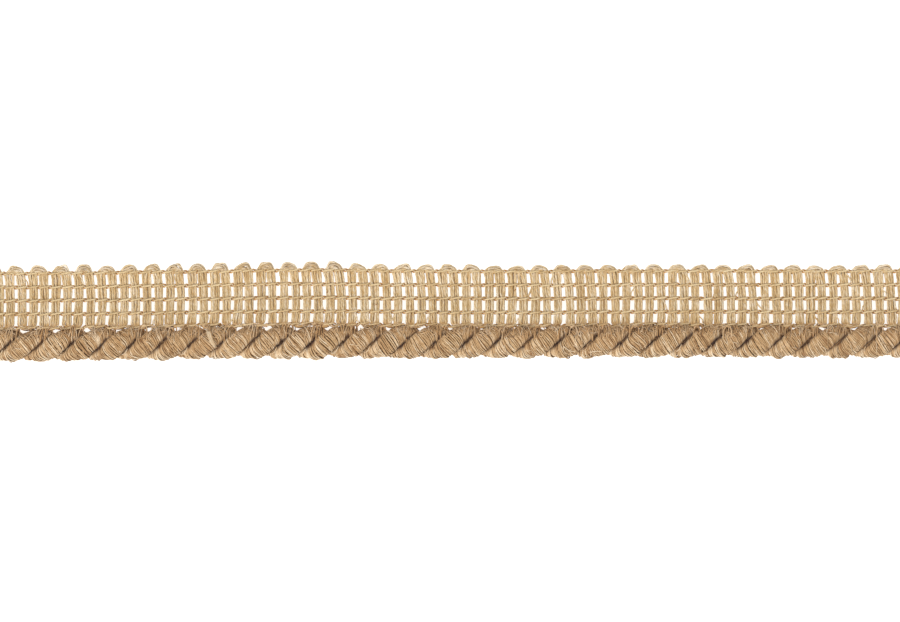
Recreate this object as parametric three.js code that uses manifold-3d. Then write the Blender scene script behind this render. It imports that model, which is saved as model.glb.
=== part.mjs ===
// Lipped decorative cord: a thick two-ply twisted cord whose plies are wrapped
// in thread, with an openwork woven lip (the tape that is caught in a seam)
// along one side.  A cut length lies flat on a surface.
//
// Millimetres.  +X runs along the cord, +Y points from the cord to the lip's
// scalloped edge, +Z is up.  The surface is z = 0 and the origin is under the
// middle of the box.  Three solids: two plies and the lip, 0.3 mm apart.

import * as THREE from 'three';
import { mergeVertices } from 'three/addons/utils/BufferGeometryUtils.js';
import Module from 'manifold-3d';

// ---------------------------------------------------------------- sizes

const ORIGIN = { x: 0.117, y: -0.158 };   // middle of the box in the drawing frame
const GAP = 0.3;                        // clear space between neighbouring solids

// twisted cord
const CORD_RADIUS = 3.66;               // 7.3 mm over the crowns of the plies
const CORD_AXIS_Y = -6.92;              // mean line of the cord
const CORD_AXIS_Z = 3.51;               // 0.15 mm of each crown is pressed flat
const PLY_COUNT = 2;
const LAY = 13.855;                     // one full turn, "/" seen from above
const GROOVE_ON_TOP_X = -99.56;         // a groove crosses the top line here, before it strays
// A ply cut square to the cord: an ellipse, because the round ply is cut at a
// slant, with a flat side where the two plies press on each other.
const PLY_HALF_WIDTH = 2.96;
const PLY_HALF_HEIGHT = 2.20;
const PLY_GAP = 0.49;                   // square to the cord; 0.3 square to the plies
const PLY_ARC_SEGMENTS = 6;
const STEPS_PER_TURN = 8;               // a step falls on each crown, above and below
const FIRST_STEP = -4;                  // counted from that groove

// woven lip
const PITCH = 2.574;                    // one weft bundle to the next
const BUNDLE_COUNT = 82;
const FIRST_BUNDLE_X = -104.13;
const BUNDLE_HALF = 0.82;               // half the width of the end bundle
const LIP_LINE_Y = 4.5;                 // middle of the second row of holes
const LIP_THICKNESS = 1.2;
const VALLEY_RISE = 4.84;               // edge between two scallops
const SCALLOP_HEIGHT = 1.25;            // crown of a scallop above that

// rows of holes: their middle, counted from the lip line, and the opening;
// every = 1 in each space, 2 only in the wide space between two foot loops
const HOLE_ROWS = [
  { rise: 2.99, width: 0.80, height: 1.90, every: 1 },
  { rise: 0.00, width: 0.88, height: 2.00, every: 1 },
  { rise: -3.15, width: 0.86, height: 1.94, every: 1 },
  { rise: -5.90, width: 0.82, height: 1.26, every: 2 },
];
const HOLE_JITTER = 0.07;               // hand-loose weave: corners wander this far
const SCALLOP_JITTER = 0.14;

// one scallop between two valleys, as fractions of its period and of its
// height: it rises slowly on the left and drops more steeply on the right
const SCALLOP = [
  { along: 0.30, up: 0.72 },
  { along: 0.58, up: 1.00 },
  { along: 0.84, up: 0.62 },
];

// how the cut length wanders sideways on the surface, and how far its twist
// strays along it
const SWAY = [
  { x: -105.0, cord: -0.62, lip: -0.55, twist: -0.05 },
  { x: -80.0, cord: -0.48, lip: -0.38, twist: 0.50 },
  { x: -60.0, cord: -0.10, lip: -0.12, twist: 0.00 },
  { x: -34.0, cord: 0.10, lip: 0.22, twist: -0.72 },
  { x: -8.0, cord: 0.04, lip: 0.04, twist: -0.80 },
  { x: 20.0, cord: 0.26, lip: -0.05, twist: -0.72 },
  { x: 45.0, cord: 0.42, lip: 0.08, twist: -0.12 },
  { x: 75.0, cord: 0.28, lip: 0.03, twist: -0.20 },
  { x: 105.2, cord: 0.20, lip: 0.03, twist: 0.05 },
];

// side view of the lip: flat on the surface beyond FLAT_FROM, then it bends up
// over BEND and climbs straight to the side of the cord
const FLAT_FROM = 1.9;                  // over the lip line
const BEND = 4.0;
const CLIMB = 0.42;                     // rise for each millimetre across
const FOOT_CLEARANCE = GAP + 0.02;
const FOOT_WAVE = 0.14;                 // the foot draws back between two loops

const LEFT_X = FIRST_BUNDLE_X - BUNDLE_HALF;
const RIGHT_X = FIRST_BUNDLE_X + (BUNDLE_COUNT - 1) * PITCH + BUNDLE_HALF;
const LENGTH = RIGHT_X - LEFT_X;        // 210.1 mm

// ---------------------------------------------------------------- helpers

// smooth value of one column of SWAY at x
function sway(column, x) {
  const last = SWAY.length - 1;
  let i = 0;
  while (i < last - 1 && x > SWAY[i + 1].x) i++;
  const a = SWAY[i];
  const b = SWAY[i + 1];
  const t = Math.min(1, Math.max(0, (x - a.x) / (b.x - a.x)));
  const before = SWAY[Math.max(0, i - 1)];
  const after = SWAY[Math.min(last, i + 2)];
  const slopeA = (b[column] - before[column]) / (b.x - before.x);
  const slopeB = (after[column] - a[column]) / (after.x - a.x);
  const h = b.x - a.x;
  const t2 = t * t;
  const t3 = t2 * t;
  return (2 * t3 - 3 * t2 + 1) * a[column] + (t3 - 2 * t2 + t) * h * slopeA
    + (3 * t2 - 2 * t3) * b[column] + (t3 - t2) * h * slopeB;
}

const cordY = (x) => CORD_AXIS_Y + sway('cord', x);
const lipY = (x) => LIP_LINE_Y + sway('lip', x);

// repeatable unevenness between -1 and 1 for a counted place
function uneven(place, kind) {
  const wave = Math.sin(place * 12.9898 + kind * 78.233 + 4.1) * 43758.5453;
  return 2 * (wave - Math.floor(wave)) - 1;
}

// moves every vertex of a geometry by a function of its place
function reshape(geometry, move) {
  const position = geometry.attributes.position;
  const point = new THREE.Vector3();
  for (let i = 0; i < position.count; i++) {
    point.fromBufferAttribute(position, i);
    move(point);
    position.setXYZ(i, point.x, point.y, point.z);
  }
  position.needsUpdate = true;
  return geometry;
}

// leaves only positions, with shared vertices merged
function closed(geometry) {
  const bare = geometry.clone();
  bare.deleteAttribute('normal');
  bare.deleteAttribute('uv');
  return mergeVertices(bare, 1e-5);
}

const wasm = await Module();
wasm.setup();

function toSolid(geometry) {
  const bare = closed(geometry);
  return new wasm.Manifold(new wasm.Mesh({
    numProp: 3,
    vertProperties: new Float32Array(bare.attributes.position.array),
    triVerts: new Uint32Array(bare.index.array),
  }));
}

function toGeometry(solid) {
  const mesh = solid.getMesh();
  const geometry = new THREE.BufferGeometry();
  geometry.setAttribute('position', new THREE.BufferAttribute(new Float32Array(mesh.vertProperties), 3));
  geometry.setIndex(new THREE.BufferAttribute(new Uint32Array(mesh.triVerts), 1));
  geometry.computeVertexNormals();
  return geometry;
}

// ---------------------------------------------------------------- cord plies

// Section of one ply square to the cord, its crown towards +x.
function plySection() {
  const centre = CORD_RADIUS - PLY_HALF_HEIGHT;
  const side = PLY_GAP / 2;
  const edge = Math.asin((side - centre) / PLY_HALF_HEIGHT);
  const shape = new THREE.Shape();
  shape.moveTo(side, 0);                // the flat side is halved on the axis
  for (let i = 0; i <= PLY_ARC_SEGMENTS; i++) {
    const t = edge + ((Math.PI - 2 * edge) * i) / PLY_ARC_SEGMENTS;
    shape.lineTo(centre + PLY_HALF_HEIGHT * Math.sin(t), -PLY_HALF_WIDTH * Math.cos(t));
  }
  shape.closePath();
  return shape;
}

// One ply, twisted along the cord and a little longer than it at both ends.
function ply(index) {
  const step = LAY / STEPS_PER_TURN;
  const startX = GROOVE_ON_TOP_X + FIRST_STEP * step;
  const steps = Math.ceil((RIGHT_X - startX) / step) + 2;
  const geometry = new THREE.ExtrudeGeometry(plySection(), {
    depth: steps * step,
    steps,
    bevelEnabled: false,
    curveSegments: 1,
  });
  // the drawing's z becomes the cord's x; the section turns with it
  return reshape(geometry, (p) => {
    const even = startX + p.z;
    const x = even + sway('twist', even);
    const turned = (2 * Math.PI * (index + 0.5)) / PLY_COUNT
      - (2 * Math.PI * (even - GROOVE_ON_TOP_X)) / LAY;
    const up = p.x * Math.cos(turned) - p.y * Math.sin(turned);
    const across = p.x * Math.sin(turned) + p.y * Math.cos(turned);
    p.set(x, cordY(x) - across, CORD_AXIS_Z + up);
  });
}

// keeps what lies above the surface and between the two cut ends
function trimmed(geometry) {
  const room = new THREE.BoxGeometry(LENGTH, 40, 20);
  room.translate((LEFT_X + RIGHT_X) / 2, CORD_AXIS_Y, 10);
  return toGeometry(toSolid(geometry).intersect(toSolid(room)));
}

// ---------------------------------------------------------------- woven lip

// height of the lip's underside at a distance over the lip line
function lipHeight(rise) {
  const below = FLAT_FROM - rise;
  if (below <= 0) return 0;
  if (below < BEND) return (CLIMB * below * below) / (2 * BEND);
  return CLIMB * (below - BEND / 2);
}

// where the lip's foot clears the round of the cord at the height z
function footY(x, z) {
  const dz = z - CORD_AXIS_Z;
  const reach = CORD_RADIUS + FOOT_CLEARANCE;
  return cordY(x) + Math.sqrt(Math.max(0, reach * reach - dz * dz));
}

// corner of the opening at a space (0 = between the first two bundles) in a
// row; side and end are -1 or 1
function holeCorner(space, r, side, end) {
  const row = HOLE_ROWS[r];
  const kind = 8 * r + 2 * (side + 1) + (end + 1) / 2;
  const x = FIRST_BUNDLE_X + (space + 0.5) * PITCH
    + (side * row.width) / 2 + HOLE_JITTER * uneven(space, kind);
  const rise = row.rise + (end * row.height) / 2 + HOLE_JITTER * uneven(space, kind + 40);
  return new THREE.Vector2(x, lipY(x) + rise);
}

const isOpen = (space, r) => space % HOLE_ROWS[r].every === 0;

// Point on the seam between two pairs of bundles, at the foot or at the edge.
function seamEnd(space, top) {
  const x = FIRST_BUNDLE_X + (space + 0.5) * PITCH;
  return top
    ? new THREE.Vector2(x, lipY(x) + VALLEY_RISE + 0.06 * uneven(space, 2))
    : new THREE.Vector2(x, footY(x, CORD_AXIS_Z));
}

// One pair of bundles with its scallop, its foot and its openings, drawn flat.
// Its sides run through the openings on either side of it, so that pairs join
// along the warps between those openings.
function pairOfBundles(s, pairs) {
  const inner = 2 * s;
  const before = inner - 1;
  const after = inner + 1;
  const middleX = FIRST_BUNDLE_X + (inner + 0.5) * PITCH;
  const outline = [];

  // foot, left to right
  outline.push(s === 0
    ? new THREE.Vector2(LEFT_X, footY(LEFT_X, CORD_AXIS_Z))
    : seamEnd(before, false));
  outline.push(new THREE.Vector2(middleX, footY(middleX, CORD_AXIS_Z) + FOOT_WAVE));

  // right side, upwards, round the openings there
  if (s === pairs - 1) {
    outline.push(new THREE.Vector2(RIGHT_X, footY(RIGHT_X, CORD_AXIS_Z)));
    outline.push(new THREE.Vector2(RIGHT_X, lipY(RIGHT_X) + VALLEY_RISE));
  } else {
    outline.push(seamEnd(after, false));
    for (let r = HOLE_ROWS.length - 1; r >= 0; r--) {
      if (!isOpen(after, r)) continue;
      outline.push(holeCorner(after, r, 1, -1), holeCorner(after, r, -1, -1));
      outline.push(holeCorner(after, r, -1, 1), holeCorner(after, r, 1, 1));
    }
    outline.push(seamEnd(after, true));
  }

  // scallop, right to left
  const height = SCALLOP_HEIGHT + SCALLOP_JITTER * uneven(s, 1);
  const startX = middleX - PITCH;
  for (let j = SCALLOP.length - 1; j >= 0; j--) {
    const x = startX + SCALLOP[j].along * 2 * PITCH;
    outline.push(new THREE.Vector2(x, lipY(x) + VALLEY_RISE + SCALLOP[j].up * height));
  }

  // left side, downwards, along the openings that belong to the pair before
  if (s === 0) {
    outline.push(new THREE.Vector2(LEFT_X, lipY(LEFT_X) + VALLEY_RISE));
  } else {
    outline.push(seamEnd(before, true));
    for (let r = 0; r < HOLE_ROWS.length; r++) {
      if (isOpen(before, r)) outline.push(holeCorner(before, r, 1, 1), holeCorner(before, r, 1, -1));
    }
  }

  const shape = new THREE.Shape(outline);
  HOLE_ROWS.forEach((row, r) => {
    if (!isOpen(inner, r)) return;
    shape.holes.push(new THREE.Path([
      holeCorner(inner, r, -1, -1), holeCorner(inner, r, -1, 1),
      holeCorner(inner, r, 1, 1), holeCorner(inner, r, 1, -1),
    ]));
  });
  return new THREE.ExtrudeGeometry(shape, {
    depth: LIP_THICKNESS,
    steps: 1,
    bevelEnabled: false,
    curveSegments: 1,
  });
}

// The pairs are joined into one flat strip, which is then bent up to the cord.
function lip() {
  const pairs = BUNDLE_COUNT / 2;
  let strip = toSolid(pairOfBundles(0, pairs));
  for (let s = 1; s < pairs; s++) strip = strip.add(toSolid(pairOfBundles(s, pairs)));
  return reshape(toGeometry(strip), (p) => {
    // underside and top of the foot keep the same gap to the round of the cord
    const back = p.y - footY(p.x, CORD_AXIS_Z);
    if (back < FOOT_WAVE + 0.01) {
      for (let n = 0; n < 6; n++) p.y = back + footY(p.x, lipHeight(p.y - lipY(p.x)) + p.z);
    }
    p.z += lipHeight(p.y - lipY(p.x));
  });
}

// ---------------------------------------------------------------- scene

const gimp = new THREE.MeshStandardMaterial({ color: 0xae8f6b, roughness: 0.9, metalness: 0 });
const tape = new THREE.MeshStandardMaterial({ color: 0xccb18a, roughness: 0.9, metalness: 0 });

const cord = new THREE.Group();
for (let i = 0; i < PLY_COUNT; i++) {
  const mesh = new THREE.Mesh(trimmed(ply(i)), gimp);
  mesh.name = `strand_${i + 1}`;
  cord.add(mesh);
}
const lipMesh = new THREE.Mesh(lip(), tape);
lipMesh.name = 'lip_tape';
cord.add(lipMesh);
cord.position.set(-ORIGIN.x, -ORIGIN.y, 0);

export default cord;
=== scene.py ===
import math

import bpy
import numpy as np
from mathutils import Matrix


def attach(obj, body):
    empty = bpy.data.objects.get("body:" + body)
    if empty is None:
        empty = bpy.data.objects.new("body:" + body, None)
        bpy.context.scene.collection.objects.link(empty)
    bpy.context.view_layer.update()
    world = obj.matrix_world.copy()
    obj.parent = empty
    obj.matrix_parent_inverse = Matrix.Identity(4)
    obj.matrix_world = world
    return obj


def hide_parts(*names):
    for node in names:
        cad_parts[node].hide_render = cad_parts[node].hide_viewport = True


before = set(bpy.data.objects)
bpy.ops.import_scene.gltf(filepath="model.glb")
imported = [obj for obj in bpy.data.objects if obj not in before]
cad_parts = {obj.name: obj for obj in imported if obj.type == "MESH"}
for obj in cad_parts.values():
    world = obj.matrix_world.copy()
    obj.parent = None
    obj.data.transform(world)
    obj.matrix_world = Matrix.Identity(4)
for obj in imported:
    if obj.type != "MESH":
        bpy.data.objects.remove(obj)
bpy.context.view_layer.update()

# ---------------------------------------------------------------- sizes
# Millimetres in the part's frame, made into metres when a mesh is written.
# +X runs along the cord, +Y points to the scalloped edge, z = 0 is the surface.

MM = 0.001
ORIGIN_X, ORIGIN_Y = 0.117, -0.158      # the drawing frame's place in the part's frame
PIXEL = 0.225                           # one pixel of the 900 x 622 frame

# twisted cord
AXIS_Y = -7.10
AXIS_Z = 3.42                           # the lowest threads are pressed flat at z = 0
LAY = 13.855
GROOVE_X = -99.56
PLY_CENTRE = 1.43                       # a ply's middle from the cord's axis
PLY_UP = 2.14                           # half sizes of a ply, square to the cord
PLY_ACROSS = 2.74
SIDE_GAP = 0.10

# thread wound round each ply
THREAD = 0.175                          # half thickness
THREAD_PITCH = 0.216                    # along the cord
THREAD_SEGMENTS = 20                    # for each turn
THREAD_SIDES = 5
THREAD_RING = (-112, -56, 0, 56, 112)       # degrees: its inner side is flat

# woven lip
PITCH = 2.574
BUNDLES = 82
FIRST_BUNDLE_X = -104.13
LIP_LINE_Y = 4.5
FLAT_FROM = 1.9
BEND = 4.0
CLIMB = 0.42
WEFT = 0.25                             # half thickness of a weft yarn
WEFT_Z = 0.62                           # middle of the bundles over the lip's underside
WEFT_OFFSETS = (-0.76, -0.38, 0.0, 0.38, 0.76)
BACK = 0.34                             # and of one in the layer behind
BACK_OFFSETS = (-0.62, -0.02, 0.60)
WARP = 0.235
WARP_RISE = 0.42                        # a warp thread's way over or under a bundle

# rows of warp: height over the lip line, and half the width between its threads
WARP_ROWS = (
    {"rise": 4.45, "spread": 0.25},
    {"rise": 1.35, "spread": 0.26},
    {"rise": -1.71, "spread": 0.26},
    {"rise": -4.77, "spread": 0.26},
    {"rise": -7.78, "spread": 0.26},
)

# how the cut length wanders sideways, how far its twist and its weave stray
# along it, and how far its scallops stand out
SWAY = (
    {"x": -105.0, "cord": -0.62, "lip": -0.55, "twist": -0.05, "weave": 0.06, "edge": 0.38},
    {"x": -80.0, "cord": -0.48, "lip": -0.38, "twist": 0.50, "weave": -0.06, "edge": 0.34},
    {"x": -60.0, "cord": -0.10, "lip": -0.12, "twist": 0.00, "weave": -0.19, "edge": 0.40},
    {"x": -34.0, "cord": 0.10, "lip": 0.22, "twist": -0.72, "weave": -0.25, "edge": 0.46},
    {"x": -8.0, "cord": 0.04, "lip": 0.04, "twist": -0.80, "weave": -0.20, "edge": 0.18},
    {"x": 20.0, "cord": 0.26, "lip": -0.05, "twist": -0.72, "weave": -0.34, "edge": -0.04},
    {"x": 45.0, "cord": 0.40, "lip": 0.08, "twist": -0.12, "weave": -0.27, "edge": 0.02},
    {"x": 75.0, "cord": 0.27, "lip": 0.03, "twist": -0.20, "weave": 0.02, "edge": -0.10},
    {"x": 105.2, "cord": 0.19, "lip": 0.03, "twist": 0.05, "weave": 0.08, "edge": 0.04},
)

LEFT_X = -104.95
RIGHT_X = 105.184

# ---------------------------------------------------------------- helpers


def sway(column, x):
    """Smooth value of one column of SWAY at x."""
    xs = np.array([row["x"] for row in SWAY])
    ys = np.array([row[column] for row in SWAY])
    slope = np.empty_like(ys)
    slope[1:-1] = (ys[2:] - ys[:-2]) / (xs[2:] - xs[:-2])
    slope[0] = (ys[1] - ys[0]) / (xs[1] - xs[0])
    slope[-1] = (ys[-1] - ys[-2]) / (xs[-1] - xs[-2])
    x = np.asarray(x, float)
    i = np.clip(np.searchsorted(xs, x) - 1, 0, len(xs) - 2)
    h = xs[i + 1] - xs[i]
    t = np.clip((x - xs[i]) / h, 0, 1)
    return (
        (2 * t**3 - 3 * t**2 + 1) * ys[i]
        + (t**3 - 2 * t**2 + t) * h * slope[i]
        + (3 * t**2 - 2 * t**3) * ys[i + 1]
        + (t**3 - t**2) * h * slope[i + 1]
    )


def wander(t, seed):
    """Smooth unevenness between -1 and 1 along t, with one knot for each unit."""
    table = np.random.default_rng(seed).random(4096) * 2 - 1
    t = np.asarray(t, float)
    i = np.floor(t).astype(int)
    f = t - i
    f = f * f * (3 - 2 * f)
    return table[i % 4096] * (1 - f) + table[(i + 1) % 4096] * f


def pick(count, seed):
    """Uneven numbers between -1 and 1."""
    return np.random.default_rng(seed).random(count) * 2 - 1


def step(a, b, x):
    t = np.clip((x - a) / (b - a), 0, 1)
    return t * t * (3 - 2 * t)


def unit(v):
    return v / np.maximum(np.linalg.norm(v, axis=-1, keepdims=True), 1e-9)


def spline(points, count):
    """Catmull-Rom line through points (..., n, 3), with count steps between two of them."""
    p = np.asarray(points, float)
    first = 2 * p[..., :1, :] - p[..., 1:2, :]
    last = 2 * p[..., -1:, :] - p[..., -2:-1, :]
    q = np.concatenate([first, p, last], axis=-2)
    a, b, c, d = q[..., :-3, :], q[..., 1:-2, :], q[..., 2:-1, :], q[..., 3:, :]
    t = (np.arange(count) / count)[:, None]
    a, b, c, d = (m[..., :, None, :] for m in (a, b, c, d))
    out = 0.5 * (
        2 * b + (c - a) * t + (2 * a - 5 * b + 4 * c - d) * t**2 + (3 * b - a - 3 * c + d) * t**3
    )
    out = out.reshape(*out.shape[:-3], -1, 3)
    return np.concatenate([out, p[..., -1:, :]], axis=-2)


# ---------------------------------------------------------------- meshes


def strand(path, radius, outward, sides=6, tone=0.0, shade=0.0, warm=0.0, chunk=24, shape=1.0, ring=None):
    """One set of round strands: path (s, n, 3), radius (s, n), outward (s, n, 3)."""
    path = np.asarray(path, float)
    s, n, _ = path.shape
    full = lambda a: np.broadcast_to(np.asarray(a, float), (s, n)).copy()
    return {
        "path": path,
        "radius": full(radius),
        "outward": np.broadcast_to(np.asarray(outward, float), path.shape),
        "sides": sides,
        "tone": full(tone),
        "shade": full(shade),
        "warm": full(warm),
        "chunk": chunk,
        "shape": full(shape),
        "ring": -math.pi + 2 * math.pi * np.arange(sides) / sides if ring is None else np.radians(ring),
    }


def build(name, sets, material, floor=0.015):
    """Joins sets of strands into one mesh with its marks and texture strips."""
    verts, marks = [], {"tone": [], "shade": [], "warm": []}
    loops, starts, yarn_uv, bake_uv = [], [], [], []
    base, loop_base = 0, 0
    area = [max(1e-6, (g["radius"].mean() * len(g["path"]) * np.linalg.norm(np.diff(g["path"], axis=1), axis=2).sum(1).mean())) for g in sets]
    total = sum(area)
    band = 0.0
    for g, share in zip(sets, area):
        path, sides = g["path"], g["sides"]
        s, n, _ = path.shape
        tangent = unit(np.gradient(path, axis=1))
        out = g["outward"] - (g["outward"] * tangent).sum(-1, keepdims=True) * tangent
        out = unit(out)
        side = np.cross(tangent, out)
        angle = g["ring"]
        r = g["radius"][:, :, None, None]
        ring = path[:, :, None, :] + r * (
            np.cos(angle)[None, None, :, None] * out[:, :, None, :] * g["shape"][:, :, None, None]
            + np.sin(angle)[None, None, :, None] * side[:, :, None, :]
        )
        ring = ring.reshape(-1, 3)
        ends = np.stack([path[:, 0], path[:, -1]], axis=1).reshape(-1, 3)
        both = np.concatenate([ring, ends])
        both[:, 2] = np.where(both[:, 2] < floor, floor + 0.04 * (both[:, 2] - floor), both[:, 2])
        both[:, 2] = np.maximum(both[:, 2], 0.0)
        verts.append(both)
        for key in marks:
            ring_mark = np.repeat(g[key].reshape(-1), sides)
            end_mark = np.stack([g[key][:, 0], g[key][:, -1]], axis=1).reshape(-1)
            marks[key].append(np.concatenate([ring_mark, end_mark]))

        # walls
        i_s, i_n, i_k = np.meshgrid(np.arange(s), np.arange(n - 1), np.arange(sides), indexing="ij")
        at = lambda a, b, c: base + (a * n + b) * sides + c
        k1 = (i_k + 1) % sides
        quad = np.stack([at(i_s, i_n, i_k), at(i_s, i_n, k1), at(i_s, i_n + 1, k1), at(i_s, i_n + 1, i_k)], -1)
        quad = quad.reshape(-1, 4)
        length = np.concatenate(
            [np.zeros((s, 1)), np.cumsum(np.linalg.norm(np.diff(path, axis=1), axis=2), axis=1)], axis=1
        )
        round_u = np.append((angle + math.pi) / (2 * math.pi), (angle[0] + 3 * math.pi) / (2 * math.pi))
        w0, w1 = round_u[i_k], round_u[i_k + 1]
        u0, u1 = i_k / sides, (i_k + 1) / sides
        v0, v1 = length[i_s, i_n], length[i_s, i_n + 1]
        yarn = np.stack([np.stack([w0, v0], -1), np.stack([w1, v0], -1), np.stack([w1, v1], -1), np.stack([w0, v1], -1)], -2)

        # texture strips: each run of rings has its own cell in this set's band
        chunk = min(g["chunk"], n - 1)
        runs = math.ceil((n - 1) / chunk)
        cells = s * runs
        span = length[:, -1].mean() / (n - 1) * chunk
        wide = 2 * math.pi * g["radius"].mean()
        height = share / total
        columns = max(1, round(math.sqrt(cells * height * wide / span / 1.0)) if cells > 1 else 1)
        columns = min(columns, cells)
        rows = math.ceil(cells / columns)
        cell = i_s * runs + i_n // chunk
        col, row = cell % columns, cell // columns
        pad_u, pad_v = 0.03, 0.10
        cu = lambda t: (col + pad_u + (1 - 2 * pad_u) * t) / columns
        cv = lambda t: band + height * (row + pad_v + (1 - 2 * pad_v) * t) / rows
        a0, a1 = (i_n % chunk) / chunk, (i_n % chunk + 1) / chunk
        bake = np.stack(
            [np.stack([cu(a0), cv(u0)], -1), np.stack([cu(a0), cv(u1)], -1), np.stack([cu(a1), cv(u1)], -1), np.stack([cu(a1), cv(u0)], -1)], -2
        )
        loops.append(quad.reshape(-1))
        starts.append(loop_base + 4 * np.arange(len(quad)))
        loop_base += 4 * len(quad)
        yarn_uv.append(yarn.reshape(-1, 2))
        bake_uv.append(bake.reshape(-1, 2))

        # ends
        j_s, j_k = np.meshgrid(np.arange(s), np.arange(sides), indexing="ij")
        k1 = (j_k + 1) % sides
        for last in (0, 1):
            ring_n = (n - 1) * last
            centre = base + s * n * sides + j_s * 2 + last
            a, b = at(j_s, ring_n, j_k), at(j_s, ring_n, k1)
            tri = np.stack([centre, a, b] if last else [centre, b, a], -1).reshape(-1, 3)
            cell = j_s * runs + (runs - 1) * last
            col, row = cell % columns, cell // columns
            edge = (((n - 2) % chunk + 1) / chunk) if last else 0.0
            ua = (col + pad_u + (1 - 2 * pad_u) * edge) / columns
            uc = ua + (0.8 if last else -0.8) * pad_u / columns
            va = band + height * (row + pad_v + (1 - 2 * pad_v) * j_k / sides) / rows
            vb = band + height * (row + pad_v + (1 - 2 * pad_v) * (j_k + 1) / sides) / rows
            pa, pb, pc = np.stack([ua, va], -1), np.stack([ua, vb], -1), np.stack([uc, (va + vb) / 2], -1)
            bake = np.stack([pc, pa, pb] if last else [pc, pb, pa], -2)
            vv = length[j_s, ring_n]
            ya, yb, yc = np.stack([j_k / sides, vv], -1), np.stack([(j_k + 1) / sides, vv], -1), np.stack([(j_k + 0.5) / sides, vv + 0.2], -1)
            yarn = np.stack([yc, ya, yb] if last else [yc, yb, ya], -2)
            loops.append(tri.reshape(-1))
            starts.append(loop_base + 3 * np.arange(len(tri)))
            loop_base += 3 * len(tri)
            yarn_uv.append(yarn.reshape(-1, 2))
            bake_uv.append(bake.reshape(-1, 2))
        base += len(both)
        band += height

    co = np.concatenate(verts)
    co[:, 0] -= ORIGIN_X
    co[:, 1] -= ORIGIN_Y
    mesh = bpy.data.meshes.new(name)
    mesh.vertices.add(len(co))
    mesh.vertices.foreach_set("co", (co * MM).astype(np.float32).reshape(-1))
    loops = np.concatenate(loops).astype(np.int32)
    starts = np.concatenate(starts).astype(np.int32)
    mesh.loops.add(len(loops))
    mesh.loops.foreach_set("vertex_index", loops)
    mesh.polygons.add(len(starts))
    mesh.polygons.foreach_set("loop_start", starts)
    mesh.update(calc_edges=True)
    for label, data in (("OFBake", bake_uv), ("yarn", yarn_uv)):
        layer = mesh.uv_layers.new(name=label)
        layer.data.foreach_set("uv", np.concatenate(data).astype(np.float32).reshape(-1))
    for key, data in marks.items():
        mark = mesh.attributes.new(key, "FLOAT", "POINT")
        mark.data.foreach_set("value", np.concatenate(data).astype(np.float32))
    mesh.validate()
    mesh.shade_smooth()
    mesh.materials.append(material)
    piece = bpy.data.objects.new(name, mesh)
    bpy.context.scene.collection.objects.link(piece)
    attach(piece, "root")
    return piece


# ---------------------------------------------------------------- materials


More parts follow.
